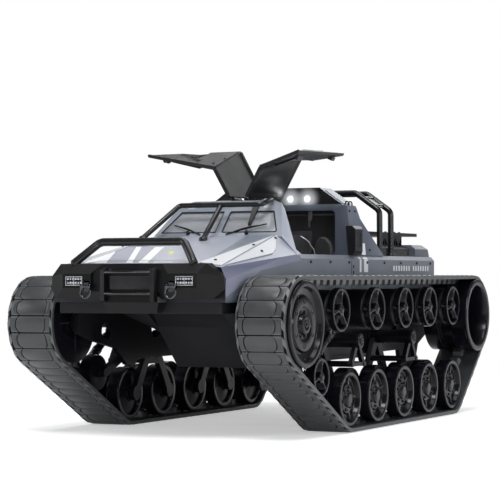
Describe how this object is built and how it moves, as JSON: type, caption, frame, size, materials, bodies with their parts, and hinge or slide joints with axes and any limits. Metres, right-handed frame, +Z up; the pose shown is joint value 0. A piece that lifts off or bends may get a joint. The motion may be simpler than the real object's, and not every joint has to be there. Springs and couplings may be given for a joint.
{
  "type": "tracked remote control vehicle",
  "caption": "Tracked armoured remote-control vehicle with sprung running gear, rubber track belts, folded body, bull bar, roll hoops and open gullwing doors.",
  "frame": {"origin": "on the ground, under the middle of the vehicle's length and width", "axes": "-Y is the way the vehicle drives, +X is its left side, +Z up"},
  "size_m": [0.245, 0.4834, 0.2336],
  "materials": {
    "belt_rubber": "matt moulded rubber with tread links",
    "wheel_nylon": "black moulded nylon, satin rims",
    "frame_nylon": "black moulded nylon",
    "damper_alloy": "turned aluminium",
    "tub_plastic": "fine grained black plastic",
    "body_paint": "satin blue-grey paint over a moulded shell",
    "plate_pale": "satin light grey panel",
    "bumper_plastic": "fine grained black plastic",
    "shackle_metal": "dark coated metal",
    "tube_black": "satin black coated tube",
    "glazing": "clear moulded glazing",
    "trim_black": "black plastic",
    "door_plastic": "dark grey moulded panel",
    "lamp_lens": "clear lens over a white light",
    "deck_plastic": "dark grey louvred panel",
    "rack_metal": "satin black plate",
    "interior_plastic": "dark grey moulded plastic",
    "battery_wrap": "shrink wrap",
    "motor_steel": "plated steel can",
    "board_green": "coated circuit board",
    "screw_steel": "black oxide screws"
  },
  "bodies": {
    "vehicle": {"track_belt_l": "belt_rubber", "side_frame_l": "frame_nylon", "track_belt_r": "belt_rubber", "side_frame_r": "frame_nylon", "hull_tub": "tub_plastic", "body_shell": "body_paint", "bolt_on_plates": "plate_pale", "front_bumper": "bumper_plastic", "tow_shackles": "shackle_metal", "bull_bar": "tube_black", "windscreen_glass": "glazing", "wipers": "trim_black", "windscreen_guard": "tube_black", "door_hinges": "trim_black", "rear_roof": "body_paint", "lamp_units": "lamp_lens", "roll_hoops": "tube_black", "engine_deck": "deck_plastic", "rear_rack": "rack_metal", "cabin_interior": "interior_plastic", "battery_pack": "battery_wrap", "drive_units": "motor_steel", "control_board": "board_green", "fasteners": "screw_steel"},
    "drive_sprocket_l": {"drive_sprocket_l": "wheel_nylon"},
    "front_idler_l": {"front_idler_l": "wheel_nylon"},
    "return_roller_l_1": {"return_roller_l_1": "wheel_nylon"},
    "return_roller_l_2": {"return_roller_l_2": "wheel_nylon"},
    "return_roller_l_3": {"return_roller_l_3": "wheel_nylon"},
    "return_roller_l_4": {"return_roller_l_4": "wheel_nylon"},
    "return_roller_l_5": {"return_roller_l_5": "wheel_nylon"},
    "bogie_l_1": {"bogie_l_1": "frame_nylon"},
    "bogie_l_2": {"bogie_l_2": "frame_nylon"},
    "road_wheel_l_1": {"road_wheel_l_1": "wheel_nylon"},
    "road_wheel_l_2": {"road_wheel_l_2": "wheel_nylon"},
    "road_wheel_l_3": {"road_wheel_l_3": "wheel_nylon"},
    "road_wheel_l_4": {"road_wheel_l_4": "wheel_nylon"},
    "road_wheel_l_5": {"road_wheel_l_5": "wheel_nylon"},
    "tension_arm_l": {"tension_arm_l": "frame_nylon"},
    "tension_wheel_l": {"tension_wheel_l": "wheel_nylon"},
    "tension_damper_l": {"tension_damper_l": "damper_alloy"},
    "drive_sprocket_r": {"drive_sprocket_r": "wheel_nylon"},
    "front_idler_r": {"front_idler_r": "wheel_nylon"},
    "return_roller_r_1": {"return_roller_r_1": "wheel_nylon"},
    "return_roller_r_2": {"return_roller_r_2": "wheel_nylon"},
    "return_roller_r_3": {"return_roller_r_3": "wheel_nylon"},
    "return_roller_r_4": {"return_roller_r_4": "wheel_nylon"},
    "return_roller_r_5": {"return_roller_r_5": "wheel_nylon"},
    "bogie_r_1": {"bogie_r_1": "frame_nylon"},
    "bogie_r_2": {"bogie_r_2": "frame_nylon"},
    "road_wheel_r_1": {"road_wheel_r_1": "wheel_nylon"},
    "road_wheel_r_2": {"road_wheel_r_2": "wheel_nylon"},
    "road_wheel_r_3": {"road_wheel_r_3": "wheel_nylon"},
    "road_wheel_r_4": {"road_wheel_r_4": "wheel_nylon"},
    "road_wheel_r_5": {"road_wheel_r_5": "wheel_nylon"},
    "tension_arm_r": {"tension_arm_r": "frame_nylon"},
    "tension_wheel_r": {"tension_wheel_r": "wheel_nylon"},
    "tension_damper_r": {"tension_damper_r": "damper_alloy"},
    "door_left": {"door_left": "door_plastic"},
    "door_right": {"door_right": "door_plastic"}
  },
  "joints": [
    {"name": "drive_sprocket_l_spin", "type": "hinge", "parent": "vehicle", "child": "drive_sprocket_l", "pos_m": [0.1, 0.2047, 0.088], "axis": [1, 0, 0], "continuous": true},
    {"name": "front_idler_l_spin", "type": "hinge", "parent": "vehicle", "child": "front_idler_l", "pos_m": [0.1, -0.1826, 0.088], "axis": [1, 0, 0], "continuous": true},
    {"name": "return_roller_l_1_spin", "type": "hinge", "parent": "vehicle", "child": "return_roller_l_1", "pos_m": [0.1, -0.1048, 0.0976], "axis": [1, 0, 0], "continuous": true},
    {"name": "return_roller_l_2_spin", "type": "hinge", "parent": "vehicle", "child": "return_roller_l_2", "pos_m": [0.1, -0.0303, 0.0976], "axis": [1, 0, 0], "continuous": true},
    {"name": "return_roller_l_3_spin", "type": "hinge", "parent": "vehicle", "child": "return_roller_l_3", "pos_m": [0.1, 0.0346, 0.0976], "axis": [1, 0, 0], "continuous": true},
    {"name": "return_roller_l_4_spin", "type": "hinge", "parent": "vehicle", "child": "return_roller_l_4", "pos_m": [0.1, 0.0933, 0.0976], "axis": [1, 0, 0], "continuous": true},
    {"name": "return_roller_l_5_spin", "type": "hinge", "parent": "vehicle", "child": "return_roller_l_5", "pos_m": [0.1, 0.1522, 0.0976], "axis": [1, 0, 0], "continuous": true},
    {"name": "bogie_l_1_rock", "type": "hinge", "parent": "vehicle", "child": "bogie_l_1", "pos_m": [0.1, -0.05835, 0.072], "axis": [1, 0, 0], "range_deg": [-1.2, 1.2]},
    {"name": "bogie_l_2_rock", "type": "hinge", "parent": "vehicle", "child": "bogie_l_2", "pos_m": [0.1, 0.05985, 0.072], "axis": [1, 0, 0], "range_deg": [-1.2, 1.2]},
    {"name": "road_wheel_l_1_spin", "type": "hinge", "parent": "bogie_l_1", "child": "road_wheel_l_1", "pos_m": [0.1, -0.0879, 0.0267], "axis": [1, 0, 0], "continuous": true},
    {"name": "road_wheel_l_2_spin", "type": "hinge", "parent": "bogie_l_1", "child": "road_wheel_l_2", "pos_m": [0.1, -0.0288, 0.0267], "axis": [1, 0, 0], "continuous": true},
    {"name": "road_wheel_l_3_spin", "type": "hinge", "parent": "bogie_l_2", "child": "road_wheel_l_3", "pos_m": [0.1, 0.0303, 0.0267], "axis": [1, 0, 0], "continuous": true},
    {"name": "road_wheel_l_4_spin", "type": "hinge", "parent": "bogie_l_2", "child": "road_wheel_l_4", "pos_m": [0.1, 0.0894, 0.0267], "axis": [1, 0, 0], "continuous": true},
    {"name": "road_wheel_l_5_spin", "type": "hinge", "parent": "vehicle", "child": "road_wheel_l_5", "pos_m": [0.1, 0.1485, 0.0267], "axis": [1, 0, 0], "continuous": true},
    {"name": "tension_arm_l_swing", "type": "hinge", "parent": "vehicle", "child": "tension_arm_l", "pos_m": [0.078, -0.108, 0.06], "axis": [1, 0, 0], "range_deg": [-5, 0]},
    {"name": "tension_wheel_l_spin", "type": "hinge", "parent": "tension_arm_l", "child": "tension_wheel_l", "pos_m": [0.1, -0.14, 0.046], "axis": [1, 0, 0], "continuous": true},
    {"name": "tension_damper_l_swing", "type": "hinge", "parent": "tension_arm_l", "child": "tension_damper_l", "pos_m": [0.1, -0.14, 0.046], "axis": [1, 0, 0], "range_deg": [-0.5, 3]},
    {"name": "drive_sprocket_r_spin", "type": "hinge", "parent": "vehicle", "child": "drive_sprocket_r", "pos_m": [-0.1, 0.2047, 0.088], "axis": [1, 0, 0], "continuous": true},
    {"name": "front_idler_r_spin", "type": "hinge", "parent": "vehicle", "child": "front_idler_r", "pos_m": [-0.1, -0.1826, 0.088], "axis": [1, 0, 0], "continuous": true},
    {"name": "return_roller_r_1_spin", "type": "hinge", "parent": "vehicle", "child": "return_roller_r_1", "pos_m": [-0.1, -0.1048, 0.0976], "axis": [1, 0, 0], "continuous": true},
    {"name": "return_roller_r_2_spin", "type": "hinge", "parent": "vehicle", "child": "return_roller_r_2", "pos_m": [-0.1, -0.0303, 0.0976], "axis": [1, 0, 0], "continuous": true},
    {"name": "return_roller_r_3_spin", "type": "hinge", "parent": "vehicle", "child": "return_roller_r_3", "pos_m": [-0.1, 0.0346, 0.0976], "axis": [1, 0, 0], "continuous": true},
    {"name": "return_roller_r_4_spin", "type": "hinge", "parent": "vehicle", "child": "return_roller_r_4", "pos_m": [-0.1, 0.0933, 0.0976], "axis": [1, 0, 0], "continuous": true},
    {"name": "return_roller_r_5_spin", "type": "hinge", "parent": "vehicle", "child": "return_roller_r_5", "pos_m": [-0.1, 0.1522, 0.0976], "axis": [1, 0, 0], "continuous": true},
    {"name": "bogie_r_1_rock", "type": "hinge", "parent": "vehicle", "child": "bogie_r_1", "pos_m": [-0.1, -0.05835, 0.072], "axis": [1, 0, 0], "range_deg": [-1.2, 1.2]},
    {"name": "bogie_r_2_rock", "type": "hinge", "parent": "vehicle", "child": "bogie_r_2", "pos_m": [-0.1, 0.05985, 0.072], "axis": [1, 0, 0], "range_deg": [-1.2, 1.2]},
    {"name": "road_wheel_r_1_spin", "type": "hinge", "parent": "bogie_r_1", "child": "road_wheel_r_1", "pos_m": [-0.1, -0.0879, 0.0267], "axis": [1, 0, 0], "continuous": true},
    {"name": "road_wheel_r_2_spin", "type": "hinge", "parent": "bogie_r_1", "child": "road_wheel_r_2", "pos_m": [-0.1, -0.0288, 0.0267], "axis": [1, 0, 0], "continuous": true},
    {"name": "road_wheel_r_3_spin", "type": "hinge", "parent": "bogie_r_2", "child": "road_wheel_r_3", "pos_m": [-0.1, 0.0303, 0.0267], "axis": [1, 0, 0], "continuous": true},
    {"name": "road_wheel_r_4_spin", "type": "hinge", "parent": "bogie_r_2", "child": "road_wheel_r_4", "pos_m": [-0.1, 0.0894, 0.0267], "axis": [1, 0, 0], "continuous": true},
    {"name": "road_wheel_r_5_spin", "type": "hinge", "parent": "vehicle", "child": "road_wheel_r_5", "pos_m": [-0.1, 0.1485, 0.0267], "axis": [1, 0, 0], "continuous": true},
    {"name": "tension_arm_r_swing", "type": "hinge", "parent": "vehicle", "child": "tension_arm_r", "pos_m": [-0.078, -0.108, 0.06], "axis": [1, 0, 0], "range_deg": [-5, 0]},
    {"name": "tension_wheel_r_spin", "type": "hinge", "parent": "tension_arm_r", "child": "tension_wheel_r", "pos_m": [-0.1, -0.14, 0.046], "axis": [1, 0, 0], "continuous": true},
    {"name": "tension_damper_r_swing", "type": "hinge", "parent": "tension_arm_r", "child": "tension_damper_r", "pos_m": [-0.1, -0.14, 0.046], "axis": [1, 0, 0], "range_deg": [-0.5, 3]},
    {"name": "door_left_hinge", "type": "hinge", "parent": "vehicle", "child": "door_left", "pos_m": [0.006, -0.017, 0.188], "axis": [0, 1, 0], "range_deg": [0, 65]},
    {"name": "door_right_hinge", "type": "hinge", "parent": "vehicle", "child": "door_right", "pos_m": [-0.006, -0.017, 0.188], "axis": [0, -1, 0], "range_deg": [0, 65]}
  ],
  "couplings": [
    {"joint": "front_idler_l_spin", "follows": "drive_sprocket_l_spin", "ratio": 1},
    {"joint": "return_roller_l_1_spin", "follows": "drive_sprocket_l_spin", "ratio": 1.8514},
    {"joint": "return_roller_l_2_spin", "follows": "drive_sprocket_l_spin", "ratio": 1.8514},
    {"joint": "return_roller_l_3_spin", "follows": "drive_sprocket_l_spin", "ratio": 1.8514},
    {"joint": "return_roller_l_4_spin", "follows": "drive_sprocket_l_spin", "ratio": 1.8514},
    {"joint": "return_roller_l_5_spin", "follows": "drive_sprocket_l_spin", "ratio": 1.8514},
    {"joint": "road_wheel_l_1_spin", "follows": "drive_sprocket_l_spin", "ratio": 1.4795},
    {"joint": "road_wheel_l_2_spin", "follows": "drive_sprocket_l_spin", "ratio": 1.4795},
    {"joint": "road_wheel_l_3_spin", "follows": "drive_sprocket_l_spin", "ratio": 1.4795},
    {"joint": "road_wheel_l_4_spin", "follows": "drive_sprocket_l_spin", "ratio": 1.4795},
    {"joint": "road_wheel_l_5_spin", "follows": "drive_sprocket_l_spin", "ratio": 1.4795},
    {"joint": "tension_wheel_l_spin", "follows": "drive_sprocket_l_spin", "ratio": 2.16},
    {"joint": "tension_damper_l_swing", "follows": "tension_arm_l_swing", "ratio": -0.446},
    {"joint": "front_idler_r_spin", "follows": "drive_sprocket_r_spin", "ratio": 1},
    {"joint": "return_roller_r_1_spin", "follows": "drive_sprocket_r_spin", "ratio": 1.8514},
    {"joint": "return_roller_r_2_spin", "follows": "drive_sprocket_r_spin", "ratio": 1.8514},
    {"joint": "return_roller_r_3_spin", "follows": "drive_sprocket_r_spin", "ratio": 1.8514},
    {"joint": "return_roller_r_4_spin", "follows": "drive_sprocket_r_spin", "ratio": 1.8514},
    {"joint": "return_roller_r_5_spin", "follows": "drive_sprocket_r_spin", "ratio": 1.8514},
    {"joint": "road_wheel_r_1_spin", "follows": "drive_sprocket_r_spin", "ratio": 1.4795},
    {"joint": "road_wheel_r_2_spin", "follows": "drive_sprocket_r_spin", "ratio": 1.4795},
    {"joint": "road_wheel_r_3_spin", "follows": "drive_sprocket_r_spin", "ratio": 1.4795},
    {"joint": "road_wheel_r_4_spin", "follows": "drive_sprocket_r_spin", "ratio": 1.4795},
    {"joint": "road_wheel_r_5_spin", "follows": "drive_sprocket_r_spin", "ratio": 1.4795},
    {"joint": "tension_wheel_r_spin", "follows": "drive_sprocket_r_spin", "ratio": 2.16},
    {"joint": "tension_damper_r_swing", "follows": "tension_arm_r_swing", "ratio": -0.446}
  ]
}
